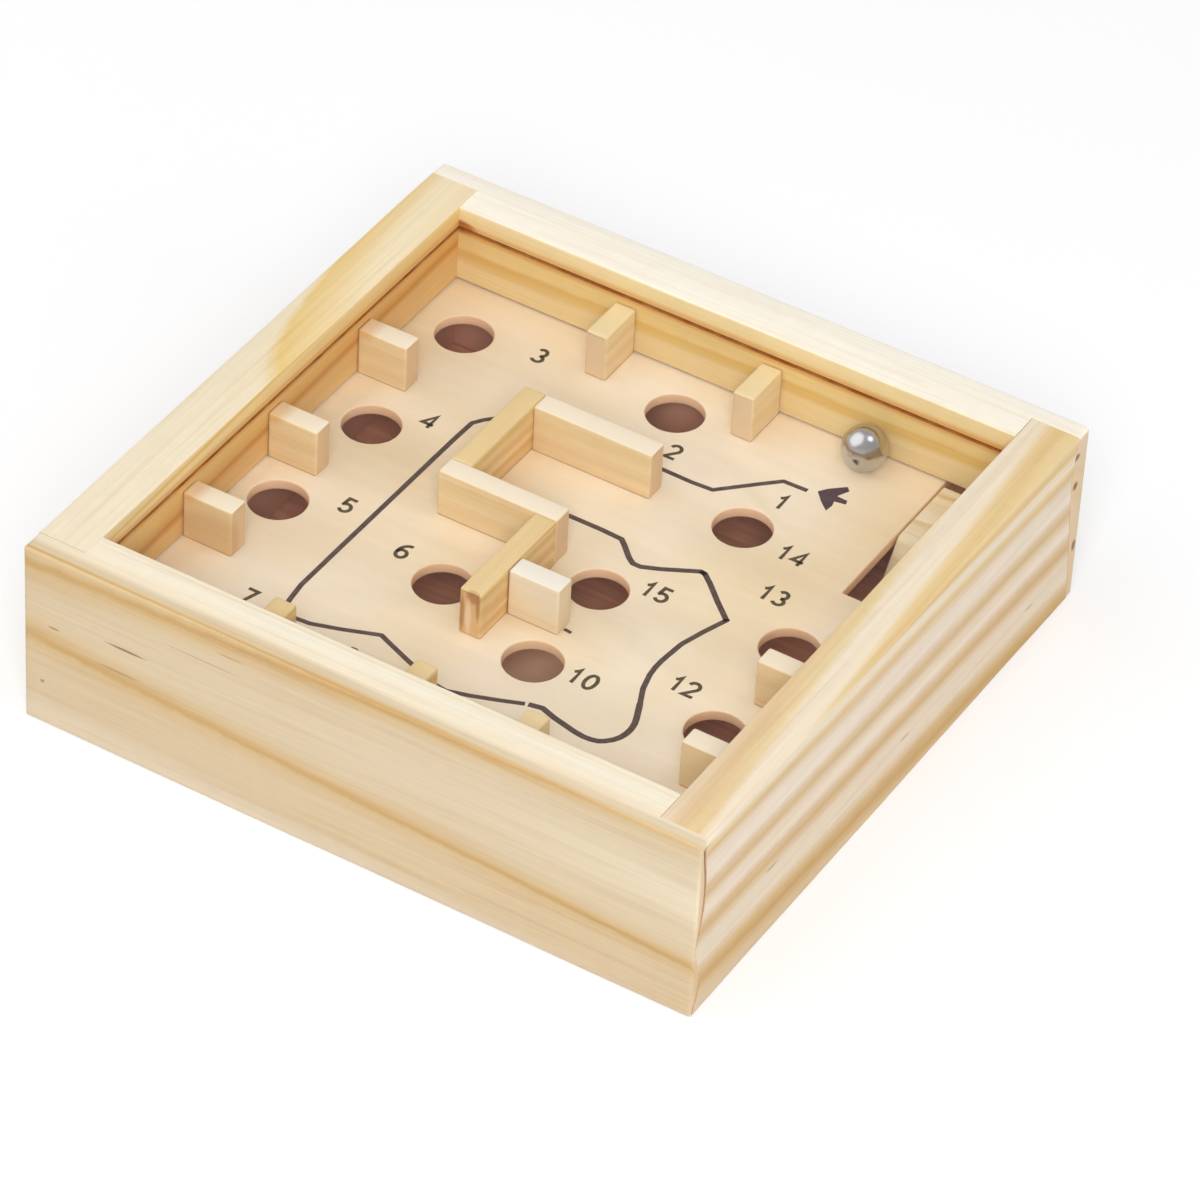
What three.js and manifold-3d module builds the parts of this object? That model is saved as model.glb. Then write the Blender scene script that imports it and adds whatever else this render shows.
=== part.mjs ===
import * as THREE from 'three';
import { mergeVertices } from 'three/addons/utils/BufferGeometryUtils.js';
import Module from 'manifold-3d';

const wasm = await Module();
wasm.setup();

// Wooden ball maze puzzle: a glued pine case with a clear window, a drilled maze board and a loose ball.
// Millimetres, +Z up, +X along the front wall, +Y to the back, origin at the middle of the underside.

// Case
const caseLength = 124;
const caseDepth = 122;
const caseHeight = 35;
const wallThickness = 9;
const wallArris = 0.4;
const cornerRound = 0.9;
const glueGap = 0.12;

// Lips of the front and back walls that cover the side walls' end grain
const frontLeftLip = 4.2;
const frontRightLip = 2;
const backLip = 3.5;

// Sheets that lie in the grooves, with play above them
const panelLevel = 3;
const panelThickness = 3;
const boardThickness = 2;
const windowThickness = 0.6;
const windowLip = 3.9;
const grooveDepth = 3;
const woodPlay = 0.35;
const windowPlay = 0.1;
const grooveSeatGap = 0.05;
const grooveEndGap = 0.4;

// Ball and its ways through the board
const ballDiameter = 8;
const holeDiameter = 10;
const ballHeadroom = 2.4;
const ballRunningGap = 0.3;
const slotWidth = 11.5;
const slotLength = 33.7;
const rampSideGap = 0.35;
const rampBackGap = 1.2;
const rampFlat = 15.1;
const rampRun = 9.6;
const rampToe = 0.4;

// Fences glued to the board
const fenceWidth = 4;
const fenceHeadroom = 1.4;
const longFence = 22.5;
const shortFence = 9.5;
const fenceArris = 0.3;

// Roundness
const holeSides = 28;
const cornerSteps = 3;
const ballSides = 36;
const ballRings = 20;
const cutOverrun = 1;

// The play space inside the walls
const playLength = caseLength - 2 * wallThickness;
const playDepth = caseDepth - 2 * wallThickness;

// Levels: the walls' lip stands above the window, and the board lies a ball and its headroom below it
const panelTop = panelLevel + panelThickness;
const windowLevel = caseHeight - windowLip - windowPlay - windowThickness;
const boardTop = windowLevel - ballHeadroom - ballDiameter;
const boardLevel = boardTop - boardThickness;
const fenceHeight = windowLevel - fenceHeadroom - boardTop;

// Hole centres, as shares of half the play length and half the play depth
const holeShares = {
  startAndFourteen: [0.379, 0.446],
  two: [-0.077, 0.81],
  three: [-0.828, 0.769],
  four: [-0.821, 0.215],
  five: [-0.857, -0.262],
  six: [-0.23, -0.31],
  seven: [-0.83, -0.837],
  eight: [-0.15, -0.875],
  nineAndTen: [0.181, -0.46],
  eleven: [0.7, -0.875],
  twelve: [0.792, -0.425],
  thirteen: [0.783, 0.033],
  fifteen: [0.168, -0.06],
};

// Middles of the wall fences, as shares of half the play size along their wall
const leftFenceShares = { left_fence_back: 0.447, left_fence_middle: -0.065, left_fence_front: -0.537 };
const rightFenceShares = { right_fence_back: -0.212, right_fence_front: -0.652 };
const backFenceShares = { back_fence_left: -0.377, back_fence_right: 0.153 };
const frontFenceShares = { front_fence_left: -0.466, front_fence_middle: 0.03, front_fence_right: 0.417 };

// Place of the spur along the front bar, from the bar's back end, and of the ball along the back wall
const spurShare = 0.56;
const ballShare = 0.536;

const paleWood = 0xe9d6ae;
const fenceWood = 0xefddb9;
const boardWood = 0xebd6b4;
const panelWood = 0xa8684c;
const rampWood = 0xead9b0;
const clearPlastic = 0xeef3f2;
const steel = 0xc9cbcc;

const group = new THREE.Group();

function addPiece(name, geometry, look, parent = group) {
  const mesh = new THREE.Mesh(geometry, new THREE.MeshStandardMaterial(look));
  mesh.name = name;
  parent.add(mesh);
  return mesh;
}

function toSolid(geometry) {
  const bare = geometry.clone();
  bare.deleteAttribute('normal');
  bare.deleteAttribute('uv');
  const welded = mergeVertices(bare);
  return new wasm.Manifold(new wasm.Mesh({
    numProp: 3,
    vertProperties: new Float32Array(welded.getAttribute('position').array),
    triVerts: new Uint32Array(welded.getIndex().array),
  }));
}

function toGeometry(solid) {
  const result = solid.getMesh();
  const indexed = new THREE.BufferGeometry();
  indexed.setAttribute('position', new THREE.BufferAttribute(result.vertProperties, 3));
  indexed.setIndex(new THREE.BufferAttribute(result.triVerts, 1));
  const faceted = indexed.toNonIndexed();
  faceted.computeVertexNormals();
  return faceted;
}

function block(low, high) {
  const size = new THREE.Vector3().subVectors(high, low);
  const middle = new THREE.Vector3().addVectors(high, low).multiplyScalar(1 / 2);
  const geometry = new THREE.BoxGeometry(size.x, size.y, size.z);
  geometry.translate(middle.x, middle.y, middle.z);
  return geometry;
}

// An outline drawn across and up is carried along X: across becomes Y, up becomes Z.
function strip(outline, length) {
  const geometry = new THREE.ExtrudeGeometry(outline, { depth: length, bevelEnabled: false, steps: 1 });
  const turned = new THREE.Matrix4().makeBasis(
    new THREE.Vector3(0, 1, 0),
    new THREE.Vector3(0, 0, 1),
    new THREE.Vector3(1, 0, 0),
  );
  geometry.translate(0, 0, -length / 2);
  geometry.applyMatrix4(turned);
  return geometry;
}

function outlineOf(points) {
  const outline = new THREE.Shape();
  points.forEach(([across, up], index) => {
    if (index === 0) {
      outline.moveTo(across, up);
    } else {
      outline.lineTo(across, up);
    }
  });
  outline.closePath();
  return outline;
}

// Section of the wall stock: outer face at zero, inner face with three grooves, arrises taken off.
function wallSection() {
  const grooves = [
    [panelLevel, panelThickness, woodPlay],
    [boardLevel, boardThickness, woodPlay],
    [windowLevel, windowThickness, windowPlay],
  ];
  const points = [
    [0, wallArris],
    [wallArris, 0],
    [wallThickness - wallArris, 0],
    [wallThickness, wallArris],
  ];
  for (const [level, thickness, play] of grooves) {
    const low = level - grooveSeatGap;
    const high = level + thickness + play;
    points.push([wallThickness, low]);
    points.push([wallThickness - grooveDepth, low]);
    points.push([wallThickness - grooveDepth, high]);
    points.push([wallThickness, high]);
  }
  points.push([wallThickness, caseHeight - wallArris]);
  points.push([wallThickness - wallArris, caseHeight]);
  points.push([wallArris, caseHeight]);
  points.push([0, caseHeight - wallArris]);
  return outlineOf(points);
}

// A full-width wall: rabbets at both ends leave a thin lip over the side wall's end grain,
// and the outer corners are rounded. Left and right are as seen from outside the wall.
function rabbetedWall(leftLip, rightLip) {
  const stock = toSolid(strip(wallSection(), caseLength));
  const halfLength = caseLength / 2;
  const rabbet = (low, high, lip) => toSolid(block(
    new THREE.Vector3(low, lip, -cutOverrun),
    new THREE.Vector3(high, wallThickness + cutOverrun, caseHeight + cutOverrun),
  ));
  const right = rabbet(playLength / 2, halfLength + cutOverrun, rightLip);
  const left = rabbet(-halfLength - cutOverrun, -playLength / 2, leftLip);
  const plan = new THREE.Shape();
  plan.moveTo(-halfLength + cornerRound, 0);
  plan.lineTo(halfLength - cornerRound, 0);
  plan.absarc(halfLength - cornerRound, cornerRound, cornerRound, -Math.PI / 2, 0, false);
  plan.lineTo(halfLength, wallThickness + cutOverrun);
  plan.lineTo(-halfLength, wallThickness + cutOverrun);
  plan.absarc(-halfLength + cornerRound, cornerRound, cornerRound, Math.PI, 1.5 * Math.PI, false);
  const envelope = new THREE.ExtrudeGeometry(plan, {
    depth: caseHeight + 2 * cutOverrun,
    bevelEnabled: false,
    curveSegments: cornerSteps,
  });
  envelope.translate(0, 0, -cutOverrun);
  return toGeometry(stock.subtract(right).subtract(left).intersect(toSolid(envelope)));
}

// A side wall ends at the two lips that cover it.
function sideWall(leftLip, rightLip) {
  const left = leftLip + glueGap - caseDepth / 2;
  const right = caseDepth / 2 - rightLip - glueGap;
  const geometry = strip(wallSection(), right - left);
  geometry.translate((left + right) / 2, 0, 0);
  return geometry;
}

// Walls stand on the four sides, each turned so that its outer face looks out.
function addWalls() {
  const pine = { color: paleWood, roughness: 0.62, metalness: 0 };
  const places = [
    ['front_wall', rabbetedWall(frontLeftLip, frontRightLip), 0, caseDepth / 2],
    ['right_wall', sideWall(frontRightLip, backLip), 1, caseLength / 2],
    ['back_wall', rabbetedWall(backLip, backLip), 2, caseDepth / 2],
    ['left_wall', sideWall(backLip, frontLeftLip), 3, caseLength / 2],
  ];
  for (const [name, geometry, quarterTurns, reach] of places) {
    const side = new THREE.Group();
    side.rotation.z = quarterTurns * Math.PI / 2;
    const wall = addPiece(name, geometry, pine, side);
    wall.position.y = -reach;
    group.add(side);
  }
}

// A sheet reaches into the grooves all round, with the groove's end gap left free.
function sheetHalfSizes() {
  const reach = grooveDepth - grooveEndGap;
  return [playLength / 2 + reach, playDepth / 2 + reach];
}

function flatSheet(level, thickness) {
  const [halfLength, halfDepth] = sheetHalfSizes();
  return block(
    new THREE.Vector3(-halfLength, -halfDepth, level),
    new THREE.Vector3(halfLength, halfDepth, level + thickness),
  );
}

// The board is a sheet with its back right corner notched for the ramp, and drilled for the ball.
function mazeBoard() {
  const [halfLength, halfDepth] = sheetHalfSizes();
  const slotLeft = playLength / 2 - slotWidth;
  const slotFront = playDepth / 2 - slotLength;
  const outline = outlineOf([
    [-halfLength, -halfDepth],
    [halfLength, -halfDepth],
    [halfLength, slotFront],
    [slotLeft, slotFront],
    [slotLeft, halfDepth],
    [-halfLength, halfDepth],
  ]);
  for (const [acrossShare, backShare] of Object.values(holeShares)) {
    const hole = new THREE.Path();
    const x = acrossShare * playLength / 2;
    const y = backShare * playDepth / 2;
    hole.absarc(x, y, holeDiameter / 2, 0, 2 * Math.PI, true);
    outline.holes.push(hole);
  }
  const geometry = new THREE.ExtrudeGeometry(outline, {
    depth: boardThickness,
    bevelEnabled: false,
    curveSegments: holeSides,
  });
  geometry.translate(0, 0, boardLevel);
  return geometry;
}

// The ramp lies on the panel under the slot: a slope up from the toe, then a flat level with the board.
function returnRamp() {
  const back = playDepth / 2 - rampBackGap;
  const crest = back - rampFlat;
  const toe = crest - rampRun;
  const side = outlineOf([
    [toe, panelTop],
    [back, panelTop],
    [back, boardTop],
    [crest, boardTop],
    [toe, panelTop + rampToe],
  ]);
  const geometry = strip(side, slotWidth - 2 * rampSideGap);
  geometry.translate(playLength / 2 - slotWidth / 2, 0, 0);
  return geometry;
}

// Fence stock with its two upper arrises taken off, cut to length, standing on the board.
function fence(length) {
  const half = fenceWidth / 2;
  const section = outlineOf([
    [-half, 0],
    [half, 0],
    [half, fenceHeight - fenceArris],
    [half - fenceArris, fenceHeight],
    [fenceArris - half, fenceHeight],
    [-half, fenceHeight - fenceArris],
  ]);
  return strip(section, length);
}

function addFence(name, length, x, y, alongY) {
  const piece = addPiece(name, fence(length), { color: fenceWood, roughness: 0.6, metalness: 0 });
  piece.rotation.z = alongY ? Math.PI / 2 : 0;
  piece.position.set(x, y, boardTop);
}

// Short fences stand square against the walls.
function addWallFences() {
  const fromSide = (playLength - shortFence) / 2;
  const fromEnd = (playDepth - shortFence) / 2;
  for (const [name, share] of Object.entries(leftFenceShares)) {
    addFence(name, shortFence, -fromSide, share * playDepth / 2, false);
  }
  for (const [name, share] of Object.entries(rightFenceShares)) {
    addFence(name, shortFence, fromSide, share * playDepth / 2, false);
  }
  for (const [name, share] of Object.entries(backFenceShares)) {
    addFence(name, shortFence, share * playLength / 2, fromEnd, true);
  }
  for (const [name, share] of Object.entries(frontFenceShares)) {
    addFence(name, shortFence, share * playLength / 2, -fromEnd, true);
  }
}

// Four long fences make a zigzag about the middle of the board, and a spur stands out from the last.
function addCentreFences() {
  const half = fenceWidth / 2;
  const leftFace = -longFence;
  const backFace = half + longFence;
  addFence('centre_bar_middle', longFence, -longFence / 2, 0, false);
  addFence('centre_bar_left', longFence, leftFace + half, half + longFence / 2, true);
  addFence('centre_bar_back', longFence, leftFace + fenceWidth + longFence / 2, backFace - half, false);
  addFence('centre_bar_front', longFence, -half, -half - longFence / 2, true);
  addFence('centre_spur', shortFence, shortFence / 2, -half - spurShare * longFence, false);
}

// The ball rests on the board against the back wall.
function addBall() {
  const radius = ballDiameter / 2;
  const geometry = new THREE.SphereGeometry(radius, ballSides, ballRings);
  geometry.rotateX(Math.PI / 2);
  const ball = addPiece('steel_ball', geometry, { color: steel, roughness: 0.12, metalness: 1 });
  ball.position.set(ballShare * playLength / 2, playDepth / 2 - radius - ballRunningGap, boardTop + radius);
}

addWalls();
addPiece('bottom_panel', flatSheet(panelLevel, panelThickness), { color: panelWood, roughness: 0.7, metalness: 0 });
addPiece('maze_board', mazeBoard(), { color: boardWood, roughness: 0.55, metalness: 0 });
addPiece('clear_window', flatSheet(windowLevel, windowThickness), {
  color: clearPlastic,
  roughness: 0.05,
  metalness: 0,
  transparent: true,
  opacity: 0.2,
});
addPiece('return_ramp', returnRamp(), { color: rampWood, roughness: 0.6, metalness: 0 });
addWallFences();
addCentreFences();
addBall();

export default group;
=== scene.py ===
"""Wooden ball maze puzzle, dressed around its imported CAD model. Metres, +Z up, +X along the front wall."""

import bpy
import numpy as np
from mathutils import Matrix, Vector


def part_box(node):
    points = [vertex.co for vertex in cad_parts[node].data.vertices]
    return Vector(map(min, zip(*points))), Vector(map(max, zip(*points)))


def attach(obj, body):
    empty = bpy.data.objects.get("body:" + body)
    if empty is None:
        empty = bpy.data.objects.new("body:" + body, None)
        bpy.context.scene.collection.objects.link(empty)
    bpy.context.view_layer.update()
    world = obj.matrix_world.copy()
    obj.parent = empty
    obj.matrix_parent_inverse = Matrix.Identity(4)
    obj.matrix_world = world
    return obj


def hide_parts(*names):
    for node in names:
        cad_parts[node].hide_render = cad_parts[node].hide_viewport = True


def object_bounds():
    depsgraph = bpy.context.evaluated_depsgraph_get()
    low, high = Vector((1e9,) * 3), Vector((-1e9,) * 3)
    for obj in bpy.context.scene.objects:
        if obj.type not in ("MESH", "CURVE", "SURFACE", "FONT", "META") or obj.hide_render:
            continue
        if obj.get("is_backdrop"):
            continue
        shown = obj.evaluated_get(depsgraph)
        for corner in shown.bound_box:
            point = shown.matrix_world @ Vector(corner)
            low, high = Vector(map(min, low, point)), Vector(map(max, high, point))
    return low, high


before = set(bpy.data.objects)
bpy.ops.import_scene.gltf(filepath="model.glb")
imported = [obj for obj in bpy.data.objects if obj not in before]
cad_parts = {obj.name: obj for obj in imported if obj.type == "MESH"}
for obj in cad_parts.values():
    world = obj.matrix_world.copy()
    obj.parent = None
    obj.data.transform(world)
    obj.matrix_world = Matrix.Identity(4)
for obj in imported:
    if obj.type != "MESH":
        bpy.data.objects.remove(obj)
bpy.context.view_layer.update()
mm = 0.001

# Camera: a long lens above the front right corner, turned a little about its own axis,
# as the photograph was taken.
camera_azimuth = np.radians(29.388)
camera_elevation = np.radians(40.389)
camera_roll = np.radians(3.401)
camera_distance = 1097.393 * mm
camera_target = np.array([10.552, -5.311, 20.0]) * mm
camera_lens = 206.93
camera_sensor = 36
camera_reach = 20

# The camera's own back, right and up directions: those of a level camera, then rolled about its axis.
back = np.array([
    np.sin(camera_azimuth) * np.cos(camera_elevation),
    -np.cos(camera_azimuth) * np.cos(camera_elevation),
    np.sin(camera_elevation),
])
level_right = np.cross(-back, (0, 0, 1))
level_right /= np.linalg.norm(level_right)
level_up = np.cross(level_right, -back)
right = np.cos(camera_roll) * level_right + np.sin(camera_roll) * level_up
up = np.cos(camera_roll) * level_up - np.sin(camera_roll) * level_right
camera_data = bpy.data.cameras.new("camera")
camera_data.lens = camera_lens
camera_data.sensor_width = camera_sensor
camera_data.clip_end = camera_reach
camera = bpy.data.objects.new("camera", camera_data)
bpy.context.collection.objects.link(camera)
place = np.eye(4)
place[:3, :3] = np.column_stack((right, up, back))
place[:3, 3] = camera_target + camera_distance * back
camera.matrix_world = Matrix(place.tolist())
bpy.context.scene.camera = camera
bpy.context.scene.view_settings.view_transform = "Standard"


# Floor and light: a white sweep under soft even light, with one large lamp high on the left, so that
# shadows fall softly to the right, and one beside the camera, which reaches into the holes.
def linear(code):
    """The linear colour, with alpha 1, of an sRGB hex value."""
    shares = np.array([int(code[i:i + 2], 16) / 255 for i in (0, 2, 4)])
    bright = ((shares + 0.055) / 1.055) ** 2.4
    return (*np.where(shares <= 0.04045, shares / 12.92, bright).tolist(), 1.0)


def new_material(name):
    """An empty node material, its node tree and its output node."""
    material = bpy.data.materials.new(name)
    material.use_nodes = True
    tree = material.node_tree
    tree.nodes.clear()
    return material, tree, tree.nodes.new("ShaderNodeOutputMaterial")


def add(tree, kind, settings=(), **links):
    """Adds a node. settings sets its properties and, by socket name or number, the values of its sockets.
    Each link names an input, by its words joined with _ or by in_ and its number, and gives an output."""
    node = tree.nodes.new("ShaderNode" + kind)
    for key, value in dict(settings).items():
        if isinstance(key, str) and hasattr(node, key):
            setattr(node, key, value)
        else:
            node.inputs[key].default_value = value
    for key, source in links.items():
        socket = int(key[3:]) if key.startswith("in_") else key.replace("_", " ")
        tree.links.new(source, node.inputs[socket])
    return node


def set_stops(ramp, stops):
    """Sets a colour ramp's stops, each (position, hex value). Its own two take the first and the last."""
    own = ramp.color_ramp.elements
    for position, code in stops[1:-1]:
        own.new(position).color = linear(code)
    for end in (0, -1):
        own[end].position, own[end].color = stops[end][0], linear(stops[end][1])


floor_half = 6.0
floor_level = -0.05 * mm
floor_shade = (0.70, 0.70, 0.71, 1)
floor_lift = 0.315
floor_mesh = bpy.data.meshes.new("floor")
floor_mesh.from_pydata(
    [(-floor_half, -floor_half, floor_level), (floor_half, -floor_half, floor_level),
     (floor_half, floor_half, floor_level), (-floor_half, floor_half, floor_level)],
    [], [(0, 1, 2, 3)])
floor = bpy.data.objects.new("floor", floor_mesh)
bpy.context.collection.objects.link(floor)

# Matt white paper. It is seen a little brighter than it lights the object, so that it ends in plain
# white behind it and still keeps the shadow.
floor_material, tree, output = new_material("white sweep")
paths = add(tree, "LightPath")
seen = add(tree, "Math", {"operation": "MAXIMUM"}, in_0=paths.outputs["Is Camera Ray"],
           in_1=paths.outputs["Is Transmission Ray"])
sheet = add(tree, "BsdfDiffuse", {"Color": floor_shade})
lift = add(tree, "Math", {"operation": "MULTIPLY", 1: floor_lift}, in_0=seen.outputs[0])
shine = add(tree, "Emission", {"Color": (1, 1, 1, 1)}, Strength=lift.outputs[0])
both = add(tree, "AddShader", in_0=sheet.outputs[0], in_1=shine.outputs[0])
tree.links.new(both.outputs[0], output.inputs["Surface"])
floor_mesh.materials.append(floor_material)
floor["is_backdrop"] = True

# The studio's walls: brighter low down than overhead, plain white to the camera, and whiter in what shines.
light_low, light_high = 0.52, 0.24
shine_low, shine_high = 1.0, 0.5
world = bpy.data.worlds.new("studio")
bpy.context.scene.world = world
world.use_nodes = True
tree = world.node_tree
tree.nodes.clear()
paths = add(tree, "LightPath")
height = add(tree, "SeparateXYZ", in_0=add(tree, "TexCoord").outputs["Generated"]).outputs["Z"]
ambient = add(tree, "MapRange", {1: 0.0, 2: 1.0, 3: light_low, 4: light_high}, in_0=height)
mirrored = add(tree, "MapRange", {1: 0.05, 2: 0.5, 3: shine_low, 4: shine_high}, in_0=height)
level = add(tree, "Mix", in_0=paths.outputs["Is Glossy Ray"], in_2=ambient.outputs[0],
            in_3=mirrored.outputs[0])
seen = add(tree, "Math", {"operation": "MAXIMUM"}, in_0=paths.outputs["Is Camera Ray"],
           in_1=paths.outputs["Is Transmission Ray"])
level = add(tree, "Mix", {3: 1.0}, in_0=seen.outputs[0], in_2=level.outputs[0])
surround = add(tree, "Background", {"Color": (1, 1, 1, 1)}, Strength=level.outputs[0])
add(tree, "OutputWorld", Surface=surround.outputs[0])

# Each lamp is a disk that faces the origin: its direction, distance and width in m, watts, and whether the
# ball and the window mirror it.
for name, direction, distance, size, energy, mirrored_too in (
        ("softbox on the left", (-0.527, -0.299, 0.795), 1.15, 1.4, 5.0, True),
        ("softbox overhead", (0.352, 0.129, 0.927), 1.6, 0.6, 2.1, True),
        ("softbox beside the camera", (0.374, -0.664, 0.648), 1.8, 0.9, 18.5, False),
        ("panel on the right", (0.93, -0.12, 0.35), 1.5, 1.2, 4.6, False)):
    lamp_data = bpy.data.lights.new(name, "AREA")
    lamp_data.shape = "DISK"
    lamp_data.size = size
    lamp_data.energy = energy
    lamp = bpy.data.objects.new(name, lamp_data)
    lamp.visible_glossy = mirrored_too
    bpy.context.collection.objects.link(lamp)
    lamp_place = distance * Vector(direction)
    turned = lamp_place.to_track_quat("Z", "Y").to_matrix().to_4x4()
    lamp.matrix_world = Matrix.Translation(lamp_place) @ turned


# Walls: four lengths of sanded pine with three grooves along the inside. The front and back walls
# are rabbeted at both ends, so that a thin lip of each covers the end grain of the side walls, and
# all are glued. The arrises are broken by hand, so their roundness wanders a little.
case_length = 124.0
case_depth = 122.0
case_height = 35.0
wall_thickness = 9.0
outer_arris = 0.42
inner_arris = 0.22
corner_round = 0.7
groove_depth = 3.0
grooves = ((2.95, 6.35), (17.95, 20.35), (30.35, 31.1))
arris_steps = 5
face_steps = 12
outer_steps = 34
station_step = 2.5
lip_steps = 6
tip_thickness = 0.1
end_run = 8.0
outer_margin = 1.0
slow_wave, quick_wave, quick_share = 11.0, 4.3, 0.6
arris_wander = 0.16


def new_piece(name, points, faces, material, crease=32, others=()):
    """A closed mesh from points in mm. Doubles are merged, and edges that turn more than crease degrees
    stay sharp. others lists more materials, each with the numbers of the faces that take it."""
    mesh = bpy.data.meshes.new(name)
    mesh.from_pydata((np.asarray(points, float) * mm).tolist(), [], faces)
    mesh.materials.append(material)
    numbers = np.zeros(len(faces), np.int32)
    for order, (other, taken) in enumerate(others):
        mesh.materials.append(other)
        numbers[taken] = order + 1
    mesh.polygons.foreach_set("material_index", numbers)
    piece = bpy.data.objects.new(name, mesh)
    bpy.context.collection.objects.link(piece)
    merge = piece.modifiers.new("merge", "WELD")
    merge.merge_threshold = 0.0005 * mm
    shape = piece.evaluated_get(bpy.context.evaluated_depsgraph_get())
    merged = bpy.data.meshes.new_from_object(shape)
    piece.modifiers.remove(merge)
    piece.data = merged
    bpy.data.meshes.remove(mesh)
    merged.name = name
    merged.shade_smooth()
    merged.set_sharp_from_angle(angle=np.radians(crease))
    return piece


def tube_faces(stations, around):
    """Faces of a closed tube: quads between neighbouring stations, the section closed on itself,
    and one face over each end."""
    along, across = np.meshgrid(np.arange(stations - 1), np.arange(around), indexing="ij")
    beside = (across + 1) % around
    quads = np.stack([along * around + across, along * around + beside,
                      (along + 1) * around + beside, (along + 1) * around + across], axis=-1)
    faces = quads.reshape(-1, 4).tolist()
    faces.append(list(range(around))[::-1])
    faces.append([(stations - 1) * around + i for i in range(around)])
    return faces


def arris(across, height, turn, size):
    """A quarter round of radius size inside the corner (across, height), from turn to turn plus 90 degrees.
    size has one value for each station; the result is (stations, steps, 2)."""
    angle = np.radians(turn + np.linspace(0, 90, arris_steps))
    ray = np.stack([np.cos(angle), np.sin(angle)], axis=-1)
    corner_sign = np.array([np.cos(np.radians(turn + 45)), np.sin(np.radians(turn + 45))])
    middle = np.array([across, height]) - np.sign(corner_sign) * size[:, None]
    return middle[:, None, :] + size[:, None, None] * ray[None, :, :]


def wall_sections(along, seed):
    """The wall's closed section at each place along it, as (stations, points, 2) of across and up: outer
    face at zero, grooves in the inner face, and four arrises, whose radius is its mean times one plus two
    sines of the place along, in mm to a radian."""
    phases = np.random.default_rng(seed).uniform(0, 2 * np.pi, (4, 3))
    waves = np.sin(along[None, :] / slow_wave + phases[:, :1])
    waves += quick_share * np.sin(along[None, :] / quick_wave + phases[:, 1:2])
    mean_sizes = np.array([outer_arris, inner_arris, inner_arris, outer_arris])
    sizes = mean_sizes[:, None] * (1 + arris_wander * waves)
    count = len(along)
    parts = [arris(0, 0, 180, sizes[0]), arris(wall_thickness, 0, 270, sizes[1])]
    inner = []
    level = inner_arris
    groove_floor = wall_thickness - groove_depth
    for low, high in grooves:
        inner += [(wall_thickness, height) for height in np.linspace(level, low, face_steps + 1)[1:]]
        inner += [(groove_floor, low), (groove_floor, high), (wall_thickness, high)]
        level = high
    to_top = np.linspace(level, case_height - inner_arris, face_steps)[1:-1]
    inner += [(wall_thickness, height) for height in to_top]
    parts.append(np.broadcast_to(np.array(inner), (count, len(inner), 2)))
    parts += [arris(wall_thickness, case_height, 0, sizes[2]), arris(0, case_height, 90, sizes[3])]
    down = np.linspace(case_height - outer_margin, outer_margin, outer_steps)
    outer = [(0, height) for height in down]
    parts.append(np.broadcast_to(np.array(outer), (count, outer_steps, 2)))
    return np.concatenate(parts, axis=1)


def end_cap(section):
    """Triangles over the end of a wall. The points of its inner and its outer side are sorted by height
    together, and each new point makes a triangle with the last points met on both sides."""
    top = len(section) - outer_steps - arris_steps
    inner = np.arange(arris_steps, top)
    outer = np.concatenate([np.arange(arris_steps)[::-1], np.arange(len(section) - 1, top - 1, -1)])
    is_outer = np.repeat([False, True], [len(inner), len(outer)])
    order = np.argsort(np.concatenate([section[inner, 1], section[outer, 1]]), kind="stable")
    on_inner = np.maximum(np.cumsum(~is_outer[order]) - 1, 0)
    on_outer = np.maximum(np.cumsum(is_outer[order]) - 1, 0)
    rise_inner = ~is_outer[order] & (on_inner > 0)
    rise_outer = is_outer[order] & (on_outer > 0)
    a, b = on_inner[rise_inner], on_outer[rise_inner]
    faces = np.column_stack([inner[a - 1], inner[a], outer[b]]).tolist()
    a, b = on_inner[rise_outer], on_outer[rise_outer]
    return faces + np.column_stack([inner[a], outer[b], outer[b - 1]]).tolist()


def wall_faces(section):
    """Faces of a wall: its tube of quads, and triangles over both ends."""
    stations, around = section.shape[:2]
    last = (stations - 1) * around
    return (tube_faces(stations, around)[:-2] + [face[::-1] for face in end_cap(section[0])]
            + [[last + point for point in face] for face in end_cap(section[-1])])


def cut_faces(stations, around):
    """Numbers of a wall's faces that line its grooves, three beside each other for each groove, and of
    those between the lowest two grooves, which lie under the board."""
    first = [2 * arris_steps + face_steps - 1 + order * (face_steps + 3) for order in range(len(grooves))]
    lining = [start + side for start in first for side in range(3)]
    hidden = list(range(first[0] + 3, first[1]))
    every = np.arange(stations - 1)[:, None] * around
    return (every + lining).ravel().tolist(), (every + hidden).ravel().tolist()


def stand_wall(along, section, quarter_turns, reach):
    """Wall points (along, across, up), turned to their side of the case: the outer face lies at reach from
    the middle, and quarter_turns of 0 put it at the front."""
    turn = quarter_turns * np.pi / 2
    x = along * np.cos(turn) - (section[..., 0] - reach) * np.sin(turn)
    y = along * np.sin(turn) + (section[..., 0] - reach) * np.cos(turn)
    return np.stack([x, y, section[..., 1]], axis=-1)


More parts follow.
